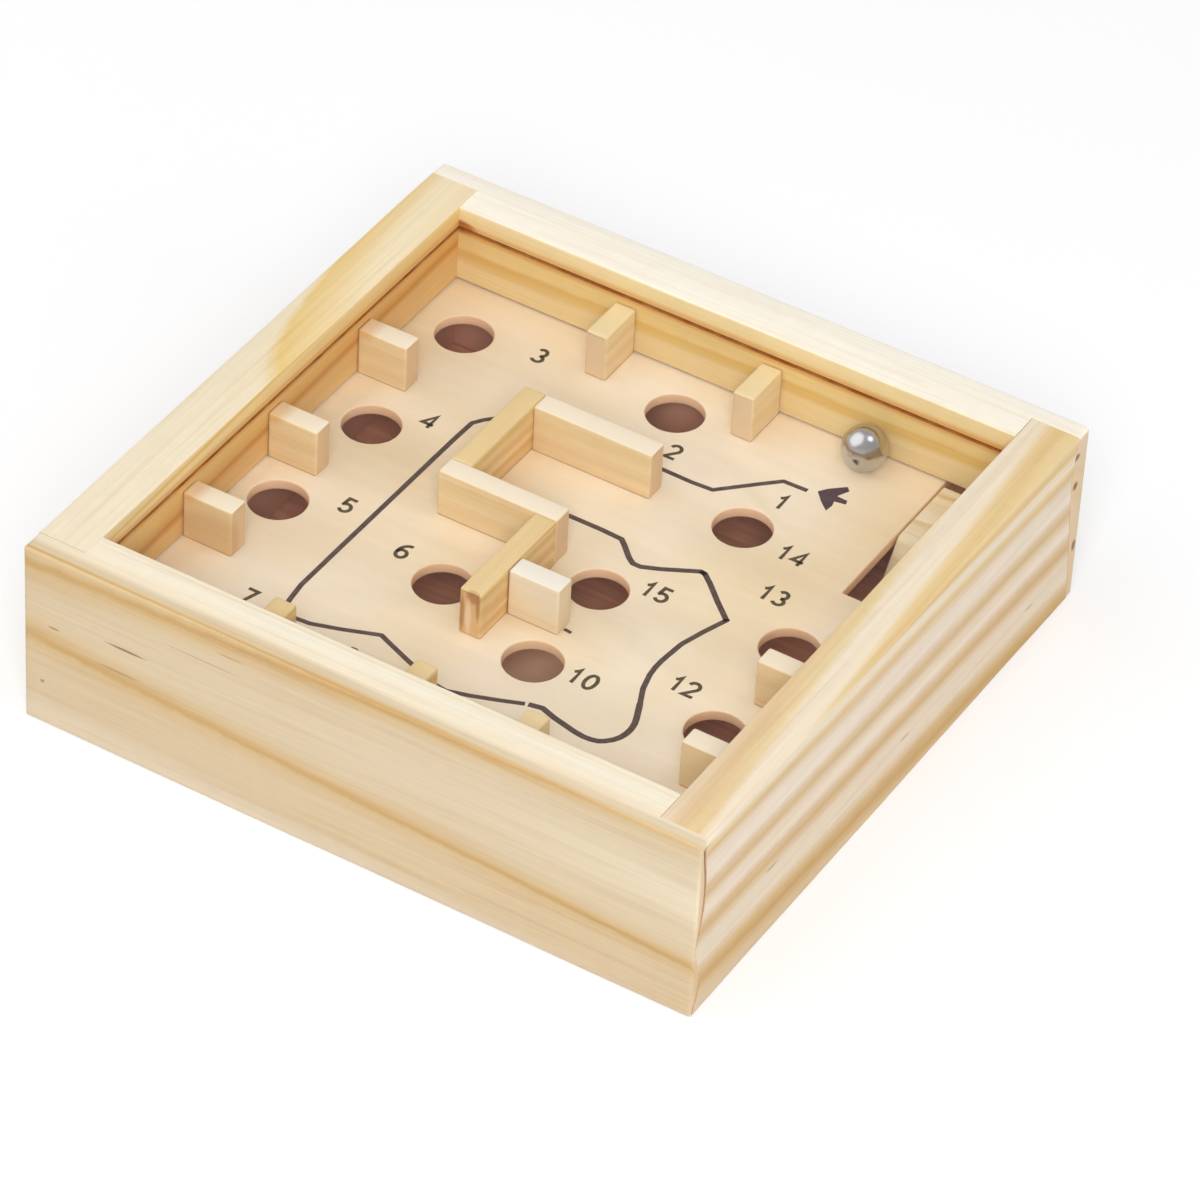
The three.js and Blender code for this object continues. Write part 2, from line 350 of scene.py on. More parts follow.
def rabbeted_wall(left_lip, right_lip, quarter_turns, seed):
    """A front or back wall. Past the shoulders the section is cut back to the lip, whose thickness
    changes with height, and over the last fraction of a millimetre it draws in along a quarter round."""
    half, shoulder = case_length / 2, case_length / 2 - wall_thickness
    angle = np.linspace(0, np.pi / 2, lip_steps)
    tip = half - corner_round + corner_round * np.sin(angle)
    lip_run = np.linspace(shoulder, half - corner_round, lip_steps)
    body = np.linspace(-shoulder, shoulder, int(2 * shoulder / station_step))
    along = np.concatenate([-tip[::-1], -lip_run[::-1][1:], body, lip_run[:-1], tip])

    # Two stations share each shoulder, and the outer one is cut too, so that the step is square.
    cut = np.abs(along) > shoulder + 1e-9
    cut[len(tip) + len(lip_run) - 2] = True
    cut[len(along) - len(tip) - len(lip_run) + 1] = True
    section = wall_sections(along, seed).copy()
    lip = np.where(along[:, None] < 0,
                   np.interp(section[..., 1], *np.transpose(left_lip)),
                   np.interp(section[..., 1], *np.transpose(right_lip)))
    beyond = np.clip(np.abs(along) - (half - corner_round), 0, corner_round)
    draw = corner_round - np.sqrt(corner_round ** 2 - beyond ** 2)
    section[cut, :, 0] = np.minimum(section[cut, :, 0], lip[cut])
    section[..., 0] = np.maximum(section[..., 0], np.minimum(draw[:, None], lip - tip_thickness))
    section[..., 1] = np.clip(section[..., 1], draw[:, None], case_height - draw[:, None])
    points = stand_wall(along[:, None] * np.ones_like(lip), section, quarter_turns, case_depth / 2)
    return points.reshape(-1, 3), wall_faces(section), cut_faces(*lip.shape)


def side_wall(left_end, right_end, quarter_turns, seed):
    """A side wall, whose two ends follow the lips that cover them, a glue gap away."""
    half = case_depth / 2
    body = np.linspace(-half + end_run, half - end_run, int(2 * half / station_step))
    along = np.concatenate([[-half], body, [half]])
    section = wall_sections(along, seed)
    places = along[:, None] * np.ones_like(section[..., 0])
    places[0] = np.interp(section[0, :, 1], *np.transpose(left_end)) - half
    places[-1] = half - np.interp(section[-1, :, 1], *np.transpose(right_end))
    points = stand_wall(places, section, quarter_turns, case_length / 2)
    return points.reshape(-1, 3), wall_faces(section), cut_faces(*places.shape)


# Growth rings are cylinders about the pith, so each wall gives its pith line and the colours met
# going out from it. Pine's late wood is the darker, golden edge of a ring. Below, the width and length
# in mm of what is drawn out along the fibres; the drift is how a ring strays from its cylinder. Real
# fibres are finer than 0.4 mm, and are drawn as coarse as they need to show. Noise seldom leaves 0.3
# to 0.7, so what depends on it is set at those two.
grain_sizes = {"fibres": (0.4, 26.0), "streaks": (1.5, 42.0), "dashes": (0.3, 5.5), "drift": (21.0, 110.0),
               "mottle": (3.2, 3.2)}
streak_tint, dash_tint = "E2BC86", "B98450"


def pine(name, pith, heading, rings, wander=0.3, mottle=0.1, streak=0.42, dash=0.3, marks=(), faces=(),
         end="DDBE98"):
    """Sanded, unvarnished pine: matt, with bands of golden late wood, streaks, fine fibres and short resin
    dashes. A point's ring is its distance from the pith line, strayed by noise of wander and mottle mm, and
    rings lists (distance in mm, colour). Each mark is (centre, half sizes in mm, colour, strength), and
    faces lists (direction, blend, colour, most) for faces that look that way. Sawn ends go to the end
    colour."""
    material, tree, output = new_material(name)
    heading = np.array(heading, float) / np.linalg.norm(heading)
    place = add(tree, "TexCoord").outputs["Object"]
    normal = add(tree, "NewGeometry").outputs["Normal"]
    noise = {}
    for part, (width, length) in grain_sizes.items():
        scale = np.where(np.abs(heading) > 0.7, 1 / length, 1 / width) / mm
        stretched = add(tree, "VectorMath", {"operation": "MULTIPLY", 1: scale.tolist()}, in_0=place)
        clouds = add(tree, "TexNoise", {"Scale": 1.0, "Detail": 2.5, "Roughness": 0.6},
                     Vector=stretched.outputs[0])
        noise[part] = clouds.outputs["Fac"]

    pith = (np.array(pith) * mm).tolist()
    heading = heading.tolist()
    from_pith = add(tree, "VectorMath", {"operation": "SUBTRACT", 1: pith}, in_0=place)
    crossed = add(tree, "VectorMath", {"operation": "CROSS_PRODUCT", 1: heading}, in_0=from_pith.outputs[0])
    ring = add(tree, "VectorMath", {"operation": "LENGTH"}, in_0=crossed.outputs[0]).outputs["Value"]
    for part, amount in (("drift", wander), ("mottle", mottle), ("streaks", 0.5 * mottle)):
        stray = add(tree, "MapRange", {1: 0.3, 2: 0.7, 3: -amount * mm, 4: amount * mm}, in_0=noise[part])
        ring = add(tree, "Math", {"operation": "ADD"}, in_0=ring, in_1=stray.outputs[0]).outputs[0]
    first, last = rings[0][0], rings[-1][0]
    out = add(tree, "MapRange", {1: first * mm, 2: last * mm}, in_0=ring)
    ramp = add(tree, "ValToRGB", in_0=out.outputs[0])
    set_stops(ramp, [((distance - first) / (last - first), code) for distance, code in rings])
    fine = add(tree, "MapRange", {1: 0.3, 2: 0.7, 3: 0.95, 4: 1.035}, in_0=noise["fibres"])
    broad = add(tree, "MapRange", {1: 0.3, 2: 0.7, 3: 0.985, 4: 1.015}, in_0=noise["mottle"])
    shade = add(tree, "Math", {"operation": "MULTIPLY"}, in_0=fine.outputs[0], in_1=broad.outputs[0])
    shaded = add(tree, "VectorMath", {"operation": "SCALE"}, in_0=ramp.outputs["Color"],
                 Scale=shade.outputs[0])
    colour = shaded.outputs[0]

    # Each tint is blended in by a share that grows from 0 to its most, as its source goes from its start
    # to its stop.
    along_it = add(tree, "VectorMath", {"operation": "DOT_PRODUCT", 1: heading}, in_0=normal)
    endways = add(tree, "Math", {"operation": "ABSOLUTE"}, in_0=along_it.outputs["Value"]).outputs[0]
    tints = [("MULTIPLY", streak_tint, noise["streaks"], 0.5, 0.75, streak),
             ("MIX", dash_tint, noise["dashes"], 0.71, 0.77, dash), ("MIX", end, endways, 0.75, 0.97, 0.85)]
    for direction, blend, code, most in faces:
        facing = add(tree, "VectorMath", {"operation": "DOT_PRODUCT", 1: direction}, in_0=normal)
        tints.append((blend, code, facing.outputs["Value"], 0.5, 0.9, most))
    for centre, reach, code, strength in marks:
        near = add(tree, "VectorMath", {"operation": "MULTIPLY_ADD", 1: [1 / (size * mm) for size in reach],
                                        2: [-at / size for at, size in zip(centre, reach)]}, in_0=place)
        far = add(tree, "VectorMath", {"operation": "LENGTH"}, in_0=near.outputs[0]).outputs["Value"]
        tints.append(("MIX", code, far, 1.0, 0.5, strength))
    for blend, code, source, start, stop, most in tints:
        share = add(tree, "MapRange", {1: start, 2: stop, 4: most}, in_0=source)
        mixed = add(tree, "Mix", {"data_type": "RGBA", "blend_type": blend, 7: linear(code)},
                    in_0=share.outputs[0], in_6=colour)
        colour = mixed.outputs[2]
    bump = add(tree, "Bump", {"Strength": 0.35, "Distance": 0.02 * mm}, Height=noise["fibres"])
    rough = add(tree, "MapRange", {1: 0.3, 2: 0.7, 3: 0.56, 4: 0.66}, in_0=noise["fibres"])
    shader = add(tree, "BsdfPrincipled", {"IOR": 1.5, "Specular IOR Level": 0.35}, Base_Color=colour,
                 Roughness=rough.outputs[0], Normal=bump.outputs[0])
    tree.links.new(shader.outputs[0], output.inputs["Surface"])
    return material


# Resin leaks out as short brown dashes, and the inner faces are tinted a little warmer and darker, as
# painted shade and warm light bounced inside the case. A painted golden glow stands for the light that the
# window's groove throws on the strip above it. The back wall has a maroon patch in its groove, and at its
# right end three painted brown shadows in small gaps of the joint. A mark that has no end along the wall is
# whole mm long.
resin, maroon, joint_gap_shadow, painted_glow, inner_shade_tint = "8A4A1E", "861428", "7E4E30", "D08C40", "FAF0D6"
whole = 400
front_pine = pine(
    "sanded pine, front wall", (0, -25.18, 23.94), (1, -0.012, -0.018),
    [(18, "F2E4CA"), (29.6, "F5EAD4"), (30.0, "F0DFBC"), (30.4, "F5EBD6"), (34.5, "F1E3C8"),
     (35.6, "DDCBAC"), (36.5, "DAC5A3"), (37.0, "D5B888"), (37.28, "C9A066"), (37.5, "D5B98A"),
     (38.4, "D9C29E"), (41.0, "D8C29E"), (42.4, "DFCDB2"), (48, "E6D2A8")],
    wander=0.08, mottle=0.05, streak=0.25, dash=0.2, faces=[((0, 1, 0), "MULTIPLY", inner_shade_tint, 1.0)],
    marks=[((-42.5, -61, 22.9), (4.6, 1.0, 0.32), resin, 0.75),
           ((-56.2, -61, 20.8), (1.3, 1.0, 0.25), resin, 0.6),
           ((-43.7, -61, 17.8), (5.0, 1.0, 0.2), resin, 0.45),
           ((-28, -61, 28), (9.0, 1.0, 0.18), resin, 0.35),
           ((-23, -61, 31), (3.0, 1.0, 0.2), resin, 0.4),
           ((-58.5, -61, 8.8), (0.5, 1.0, 0.4), resin, 0.6)])
right_pine = pine(
    "sanded pine, right wall", (41.89, 0, -3.42), (-0.009, 1, -0.030),
    [(19.5, "E2D0B4"), (20.6, "DCC094"), (21.2, "CEA66C"), (21.9, "D8B884"), (23.2, "EAD9C2"),
     (25.4, "E8D6BC"), (26.9, "D6B280"), (28.0, "DFC29C"), (29.4, "EFE0CC"), (30.8, "EAD8BE"),
     (32.4, "D9B88A"), (33.6, "E0C6A2"), (35.0, "EEE0CE"), (37.6, "EBDAC4"), (39.4, "DFC294"),
     (40.4, "E6CE9E"), (41.1, "EEDFC8"), (42.3, "EDDDC2"), (42.8, "E4C896"), (43.4, "DFC18A"),
     (44.3, "E6CC9A"), (50, "F0E3C6")],
    wander=0.22, mottle=0.05, streak=0.2, dash=0.2, faces=[((-1, 0, 0), "MULTIPLY", inner_shade_tint, 1.0)],
    marks=[((62, -38, 14), (0.8, 2.2, 0.25), resin, 0.5), ((62, 4, 10), (0.8, 1.8, 0.22), resin, 0.5),
           ((62, 45, 8), (0.8, 1.6, 0.22), resin, 0.5)])
back_pine = pine(
    "sanded pine, back wall", (0, 30, -20), (1, 0.004, 0.006),
    [(30, "EAD9B2"), (44.0, "EBDAB4"), (49.2, "EEDEB8"), (50.3, "E6CA8C"), (51.5, "E2C27C"),
     (52.1, "ECD8A8"), (54.2, "EBD7A6"), (55.2, "E3BE84"), (56.2, "ECDAB0"), (58.9, "F2E6C8"),
     (59.6, "FAF1E0"), (70, "FAF3E6")],
    wander=0.4, mottle=0.15, streak=0.18, dash=0.15, faces=[((0, -1, 0), "MULTIPLY", inner_shade_tint, 1.0)],
    end="E2C6A2",
    marks=[((-52.6, 52, 31.2), (3.6, 1.8, 1.5), maroon, 0.95),
           # Painted light: a golden glow along the window's groove.
           ((0, 52, 30.9), (whole, 3, 1.5), painted_glow, 0.55),
           # Painted shadows in three small gaps of the joint at the right end.
           ((62, 57.0, 31.3), (1.0, 1.3, 0.8), joint_gap_shadow, 0.85),
           ((62, 57.6, 25.0), (1.0, 1.0, 1.0), joint_gap_shadow, 0.85),
           ((62, 59.5, 11.2), (1.0, 0.8, 1.4), joint_gap_shadow, 0.8)])
left_pine = pine(
    "sanded pine, left wall", (-51.90, 0, -41.40), (0.110, 1, 0.036),
    [(38, "E8D4A6"), (58.6, "E6C896"), (60.0, "DDB070"), (61.0, "E8CA98"), (66.0, "E4BE86"),
     (67.4, "CE9450"), (68.4, "DDB274"), (70.5, "E8C892"), (73.5, "EBD2A0"), (75.5, "F0DFBC"),
     (76.0, "ECD29C"), (76.4, "E8C884"), (76.55, "EEDFC0"), (80, "F0E2C8")],
    wander=0.05, mottle=0.012, streak=0.16, dash=0.2, faces=[((1, 0, 0), "MULTIPLY", inner_shade_tint, 1.0)],
    # Painted light: a golden glow along the window's groove.
    marks=[((-53, 0, 30.9), (3, whole, 1.5), painted_glow, 0.5)])

# How thick each lip is at some heights, and how wide the joint gapes behind it, all in mm. The lips at the
# right were planed by hand and waver.
near_lip = [(0, 0.4), (1.5, 0.5), (3, 1.3), (5.3, 2.0), (6, 2.0), (14, 0.3), (16.3, 0.45), (18.5, 0.9),
            (20.8, 1.35), (23, 1.5), (25.5, 1.6), (28.5, 1.35), (31.3, 0.95), (34.3, 0.55), (35, 2.7)]
near_gap = [(0, 0.35), (2, 0.4), (5, 0.35), (6, 0), (14, 0), (15.5, 0.3), (18, 0.5), (20, 0.6),
            (33, 0.65), (34.2, 0.6), (34.6, 0), (35, 0)]
far_lip = [(0, 1.9), (2, 2.0), (15, 3.6), (27, 4.9), (31, 4.4), (35, 3.4)]
front_left_lip = [(0, 4.2), (35, 4.2)]
back_left_lip = [(0, 3.5), (35, 3.5)]
glue_line = 0.1


def widened(lip, gap):
    """The end of a side wall as (height, thickness of its lip plus the gap), at the heights of both."""
    heights = sorted({height for height, _ in lip} | {height for height, _ in gap})
    ends = np.interp(heights, *np.transpose(lip)) + np.interp(heights, *np.transpose(gap))
    return list(zip(heights, ends))


tight = [(0, glue_line), (35, glue_line)]
hairline = [(0, 0.02), (35, 0.02)]


def mottled(name, dark, light, scale, roughness):
    """A rough finish that goes between two colours in soft spots, scale of them to a metre."""
    material, tree, output = new_material(name)
    place = add(tree, "TexCoord").outputs["Object"]
    spots = add(tree, "TexNoise", {"Scale": scale, "Detail": 3.0}, Vector=place)
    tone = add(tree, "ValToRGB", in_0=spots.outputs["Fac"])
    set_stops(tone, [(0.33, dark), (0.7, light)])
    shader = add(tree, "BsdfPrincipled", {"Roughness": roughness, "IOR": 1.5},
                 Base_Color=tone.outputs["Color"])
    tree.links.new(shader.outputs[0], output.inputs["Surface"])
    return material


# The grooves are painted brown for the shade inside them, so they read as thin brown lines, blotched every
# 4 mm. The faces under the board are raw, and painted reddish for the light that the panel bounces onto
# them, in clouds of 11 mm.
groove_shade = mottled("pine in the grooves, painted with their shade", "B86C30", "D89C5A", 260.0, 0.8)
red_bounce_light = mottled("raw pine under the board, painted red bounce light", "DBA082", "E8AC8C", 90.0, 0.8)
near_end, far_end = widened(near_lip, near_gap), widened(far_lip, tight)
back_left_end, front_left_end = widened(back_left_lip, hairline), widened(front_left_lip, tight)
walls = [
    ("front_wall_pine", "front_wall", rabbeted_wall(front_left_lip, near_lip, 0, 3), front_pine),
    ("right_wall_pine", "right_wall", side_wall(near_end, far_end, 1, 5), right_pine),
    ("back_wall_pine", "back_wall", rabbeted_wall(far_lip, back_left_lip, 2, 7), back_pine),
    ("left_wall_pine", "left_wall", side_wall(back_left_end, front_left_end, 3, 9), left_pine),
]
for name, node, (points, faces, (lining, hidden)), material in walls:
    piece = new_piece(name, points, faces, material, others=((groove_shade, lining), (red_bounce_light, hidden)))
    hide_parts(node)
    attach(piece, "case")

# Glue in the near joint: dried wood glue. The joint was cut a little short, and the glue, brown and
# half gloss, fills the gap just below the faces, in two strips where it gapes.
glue_sunk = 0.22
glue_tuck = 0.05
glue_past = 0.5
glue_steps = 24
glue_spans = ((0.6, 5.8), (14.4, 34.58))
glue = mottled("dried brown wood glue", "86502F", "AC764E", 420.0, 0.55)
for word, (low, high) in zip(("lower", "upper"), glue_spans):
    bends = [height for height, _ in near_lip + near_gap if low < height < high]
    heights = np.unique(np.concatenate([np.linspace(low, high, glue_steps), bends]))
    lip = np.interp(heights, *np.transpose(near_lip)) - case_depth / 2
    gap = np.interp(heights, *np.transpose(near_gap))
    outer, inner = case_length / 2 - glue_sunk, case_length / 2 - wall_thickness + glue_past
    near, far = lip - glue_tuck, lip + gap + glue_tuck
    corners = ((inner, near), (outer, near), (outer, far), (inner, far))
    points = np.stack([np.column_stack([np.full(len(heights), x), y, heights]) for x, y in corners], axis=1)
    piece = new_piece("near_joint_glue_" + word, points.reshape(-1, 3), tube_faces(len(heights), 4), glue)
    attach(piece, "case")

# Bottom panel: a sheet of thin reddish plywood that lies in the lowest grooves. It shows only through
# the holes and the slot, dark under the board. Raw plywood is matt and streaked by open pores, here 17 mm
# long and 1.1 mm wide, and it is paler in a patch, 18 mm by 25 mm, under the tenth hole.
pores_to_metre = (60, 900, 900)
pale_patch_to_metre, pale_patch_shift = (110, 80, 0), (-0.5, 1.2, 0)
panel_material, tree, output = new_material("raw reddish plywood")
place = add(tree, "TexCoord").outputs["Object"]
stretched = add(tree, "VectorMath", {"operation": "MULTIPLY", 1: pores_to_metre}, in_0=place)
streaks = add(tree, "TexNoise", {"Scale": 1.0, "Detail": 4.0, "Roughness": 0.65},
              Vector=stretched.outputs[0])
tone = add(tree, "ValToRGB", in_0=streaks.outputs["Fac"])
set_stops(tone, [(0.3, "D08A6C"), (0.7, "E8A880")])
off = add(tree, "VectorMath", {"operation": "MULTIPLY_ADD", 1: pale_patch_to_metre, 2: pale_patch_shift},
          in_0=place)
away = add(tree, "VectorMath", {"operation": "LENGTH"}, in_0=off.outputs[0])
pale_patch = add(tree, "MapRange", {1: 1.0, 2: 0.5, 4: 0.75}, in_0=away.outputs["Value"])
tone = add(tree, "Mix", {"data_type": "RGBA", 7: linear("FFD6B0")}, in_0=pale_patch.outputs[0],
           in_6=tone.outputs["Color"])
pores = add(tree, "Bump", {"Strength": 0.4, "Distance": 0.05 * mm}, Height=streaks.outputs["Fac"])
shader = add(tree, "BsdfPrincipled", {"Roughness": 0.7, "IOR": 1.5}, Base_Color=tone.outputs[2],
             Normal=pores.outputs[0])
tree.links.new(shader.outputs[0], output.inputs["Surface"])
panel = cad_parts["bottom_panel"]
panel.data.materials.clear()
panel.data.materials.append(panel_material)

# Maze board: a 2 mm sheet with a smooth sanded face, notched for the ramp and drilled with thirteen
# 10 mm holes, whose rims are slightly broken. It lies in the middle grooves. The holes' middles are shares
# of the half width and half depth between the walls.
board_low, board_high = (np.array(corner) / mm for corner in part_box("maze_board"))
play_half = np.array([case_length / 2 - wall_thickness, case_depth / 2 - wall_thickness])
slot_width = 11.5
slot_length = 33.7
hole_radius = 5.0
rim_break = 0.26
hole_sides = 72
hole_shares = [(0.379, 0.446), (-0.077, 0.81), (-0.828, 0.769), (-0.821, 0.215), (-0.857, -0.262),
               (-0.23, -0.31), (-0.83, -0.837), (-0.15, -0.875), (0.181, -0.46), (0.7, -0.875),
               (0.792, -0.425), (0.783, 0.033), (0.168, -0.06)]

# Sanded veneer: half matt and nearly plain, with faint fibres 36 mm long and 1.6 mm wide, and soft clouds
# of 26 mm. It is painted paler to the right, as painted light, and its sawn edges are pinker than its face:
# a pale tan of their own, tinted pink by painted reddish light bounced up from the panel.
fibres_to_metre = (28, 620, 620)
clouds_to_metre = 38.0
pale_start, pale_stop, pale_gain = 6.0, 46.0, 1.06
board_material, tree, output = new_material("smooth sanded board veneer")
place = add(tree, "TexCoord").outputs["Object"]
stretched = add(tree, "VectorMath", {"operation": "MULTIPLY", 1: fibres_to_metre}, in_0=place)
fibres = add(tree, "TexNoise", {"Scale": 1.0, "Detail": 3.0, "Roughness": 0.55},
             Vector=stretched.outputs[0])
cloud = add(tree, "TexNoise", {"Scale": clouds_to_metre, "Detail": 2.0}, Vector=place)
tone = add(tree, "ValToRGB", in_0=cloud.outputs["Fac"])
set_stops(tone, [(0.32, "EED8B2"), (0.68, "F5E5CC")])
streak = add(tree, "MapRange", {1: 0.3, 2: 0.7, 3: 0.975, 4: 1.02}, in_0=fibres.outputs["Fac"])
across = add(tree, "SeparateXYZ", in_0=place).outputs["X"]
# Painted light: the face grows up to 6 % paler towards the right.
painted_light_gain = add(tree, "MapRange", {1: pale_start * mm, 2: pale_stop * mm, 3: 1.0, 4: pale_gain}, in_0=across)
paler = add(tree, "Math", {"operation": "MULTIPLY"}, in_0=streak.outputs[0], in_1=painted_light_gain.outputs[0])
face = add(tree, "VectorMath", {"operation": "SCALE"}, in_0=tone.outputs["Color"], Scale=paler.outputs[0])
# The edges' pink is partly their own tone and partly painted reddish light bounced up from the panel.
facing = add(tree, "SeparateXYZ", in_0=add(tree, "NewGeometry").outputs["Normal"])
level = add(tree, "Math", {"operation": "ABSOLUTE"}, in_0=facing.outputs["Z"])
flat = add(tree, "MapRange", {1: 0.5, 2: 0.9}, in_0=level.outputs[0])
colour = add(tree, "Mix", {"data_type": "RGBA", 6: linear("F8CFA6")}, in_0=flat.outputs[0],
             in_7=face.outputs[0])
grain = add(tree, "Bump", {"Strength": 0.2, "Distance": 0.01 * mm}, Height=fibres.outputs["Fac"])
shader = add(tree, "BsdfPrincipled", {"Roughness": 0.5, "IOR": 1.5, "Specular IOR Level": 0.35},
             Base_Color=colour.outputs[2], Normal=grain.outputs[0])
tree.links.new(shader.outputs[0], output.inputs["Surface"])


def flat_part(name, loops, low, high, rim, material):
    """A flat sheet between two heights in mm, bounded by closed loops of (x, y), the first one outside.
    Every edge is broken by a small round of size rim, inside the outline."""
    curve = bpy.data.curves.new(name, "CURVE")
    curve.dimensions = "2D"
    curve.fill_mode = "BOTH"
    curve.extrude = ((high - low) / 2 - rim) * mm
    curve.bevel_depth = rim * mm
    curve.bevel_resolution = 2
    curve.offset = -rim * mm
    for loop in loops:
        spline = curve.splines.new("POLY")
        spline.points.add(len(loop) - 1)
        rows = np.column_stack([np.array(loop) * mm, np.zeros(len(loop)), np.ones(len(loop))])
        spline.points.foreach_set("co", rows.ravel())
        spline.use_cyclic_u = True
    shape = bpy.data.objects.new(name + "_curve", curve)
    bpy.context.collection.objects.link(shape)
    mesh = bpy.data.meshes.new_from_object(shape.evaluated_get(bpy.context.evaluated_depsgraph_get()))
    bpy.data.objects.remove(shape)
    bpy.data.curves.remove(curve)
    points = np.empty(len(mesh.vertices) * 3)
    mesh.vertices.foreach_get("co", points)
    points = points.reshape(-1, 3) / mm + (0, 0, (low + high) / 2)
    faces = [tuple(face.vertices) for face in mesh.polygons]
    bpy.data.meshes.remove(mesh)
    return new_piece(name, points, faces, material)


slot_left = play_half[0] - slot_width
slot_front = play_half[1] - slot_length
outline = [(board_low[0], board_low[1]), (board_high[0], board_low[1]), (board_high[0], slot_front),
           (slot_left, slot_front), (slot_left, board_high[1]), (board_low[0], board_high[1])]
turns = np.linspace(0, 2 * np.pi, hole_sides, endpoint=False)
circle = hole_radius * np.column_stack([np.cos(turns), np.sin(turns)])
holes = [circle + np.array(share) * play_half for share in hole_shares]
board = flat_part("drilled_maze_board", [outline] + holes, board_low[2], board_high[2], rim_break,
                  board_material)
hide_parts("maze_board")
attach(board, "case")

# Printing: one dark line that shows the way, a small arrow head at the start, and the numbers of the holes,
# screen printed on the board in thin single strokes. The ink is a film, drawn a little thicker than it is.
board_top = board_high[2]
ink_film = 0.03
digit_height = 3.6
digit_stroke = 0.65
wear_to_metre = 900.0


def ink(name, dark, worn_dark):
    """Matt screen ink: a flat dark tone, a little worn in spots of 1.1 mm, where it lies thin."""
    material, tree, output = new_material(name)
    place = add(tree, "TexCoord").outputs["Object"]
    worn = add(tree, "TexNoise", {"Scale": wear_to_metre, "Detail": 2.0}, Vector=place)
    tone = add(tree, "ValToRGB", in_0=worn.outputs["Fac"])
    set_stops(tone, [(0.35, dark), (0.75, worn_dark)])
    shader = add(tree, "BsdfPrincipled", {"Roughness": 0.6, "IOR": 1.5, "Specular IOR Level": 0.3},
                 Base_Color=tone.outputs["Color"])
    tree.links.new(shader.outputs[0], output.inputs["Surface"])
    return material


def ribbon(path, width):
    """A thin closed film along a path of (x, y): its half width is set out square to the mean direction
    at each point, and longer at a bend by one over the cosine of half its angle, at most 2.2 times."""
    path = np.array(path, float)
    step = np.diff(path, axis=0)
    step /= np.linalg.norm(step, axis=1)[:, None]
    before, after = np.vstack([step[:1], step]), np.vstack([step, step[-1:]])
    mean = before + after
    mean /= np.linalg.norm(mean, axis=1)[:, None]
    reach = width / 2 / np.clip((mean * before).sum(axis=1), 0.45, 1)
    side = np.column_stack([-mean[:, 1], mean[:, 0]]) * reach[:, None]
    low, high = board_top - ink_film, board_top + ink_film
    corners = [(path - side, low), (path + side, low), (path + side, high), (path - side, high)]
    points = np.stack([np.column_stack([edge, np.full(len(edge), level)]) for edge, level in corners],
                      axis=1)
    return points.reshape(-1, 3), tube_faces(len(path), 4)


def joined(parts):
    """Several point and face lists as one."""
    points, faces, start = [], [], 0
    for part_points, part_faces in parts:
        points.append(part_points)
        faces += [tuple(start + i for i in face) for face in part_faces]
        start += len(part_points)
    return np.concatenate(points), faces


def put_print(name, parts, material):
    """A printed film on the board."""
    piece = new_piece(name, *joined(parts), material)
    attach(piece, "case")


# The line, in mm, from the start at the right to its end in the centre pocket: the width of each stretch
# and its bends.
route = [
    (0.89, [(24.0, 37.2), (19.6, 37.05), (16.9, 34.4), (11.2, 28.55), (7.2, 28.3), (2.2, 28.4),
            (-8.0, 28.4), (-20.0, 28.2), (-25.6, 26.2), (-29.0, 22.6), (-30.15, 20.8), (-30.3, 16.3),
            (-30.35, 11.9), (-30.4, 3.7), (-30.45, -4.6), (-30.55, -16.9), (-30.6, -29.2),
            (-30.1, -33.3), (-29.6, -35.2)]),
    (0.90, [(-29.2, -36.1), (-27.2, -36.55), (-24.2, -36.3), (-19.5, -34.7), (-13.4, -32.25),
            (-11.4, -33.1), (-6.6, -35.05), (-0.2, -37.4), (2.1, -37.7), (6.0, -36.5), (10.4, -34.8),
            (14.0, -33.3)]),
    (1.06, [(14.5, -33.1), (16.8, -32.6), (19.5, -33.5), (23.9, -34.5), (25.6, -34.7), (26.9, -34.6),
            (28.0, -34.3), (28.8, -33.75), (29.8, -32.7), (30.45, -31.5), (30.75, -30.2), (30.8, -29.0),
            (30.6, -27.6), (30.2, -26.4), (28.8, -23.0)]),
    (0.92, [(28.8, -23.0), (27.35, -19.75), (26.5, -16.3), (26.3, -14.3), (26.3, -12.35), (26.8, -7.2),
            (28.05, -2.95), (29.75, 1.9), (29.6, 2.2)]),
    (0.98, [(29.9, 1.7), (26.1, 5.1), (22.8, 8.25), (21.0, 9.75), (20.1, 9.85)]),
    (1.00, [(21.2, 9.7), (20.1, 9.8), (14.6, 6.7), (11.6, 5.35), (10.2, 5.35), (8.9, 6.25), (6.6, 8.55),
            (5.5, 9.5), (1.4, 9.7), (-3.3, 9.7), (-10.3, 9.7)]),
]
put_print("printed_route_line", [ribbon(bends, width) for width, bends in route],
          ink("route line ink", "4F3A34", "64504A"))

# The arrow head at the start, its corners in mm.
arrow = [(27.21, 36.08), (29.02, 34.53), (29.26, 36.17), (28.97, 37.3), (30.94, 37.71), (30.67, 38.63),
         (28.68, 38.74), (29.74, 40.96), (28.96, 41.75), (26.6, 39.59), (25.49, 38.01)]
arrow_ink = ink("arrow ink", "4A343C", "5C444A")
arrow_points = np.array([(x, y, level) for level in (board_top - ink_film, board_top + ink_film)
                         for x, y in arrow])
count = len(arrow)
arrow_faces = [tuple(range(count))[::-1], tuple(range(count, 2 * count))]
arrow_faces += [(i, (i + 1) % count, count + (i + 1) % count, count + i) for i in range(count)]
put_print("printed_start_arrow", [(arrow_points, arrow_faces)], arrow_ink)


def bow(x, y, wide, tall, start, stop):
    """Points on an ellipse arc about (x, y), from start to stop degrees."""
    turn = np.radians(np.linspace(start, stop, 18))
    return list(zip(x + wide * np.cos(turn), y + tall * np.sin(turn)))


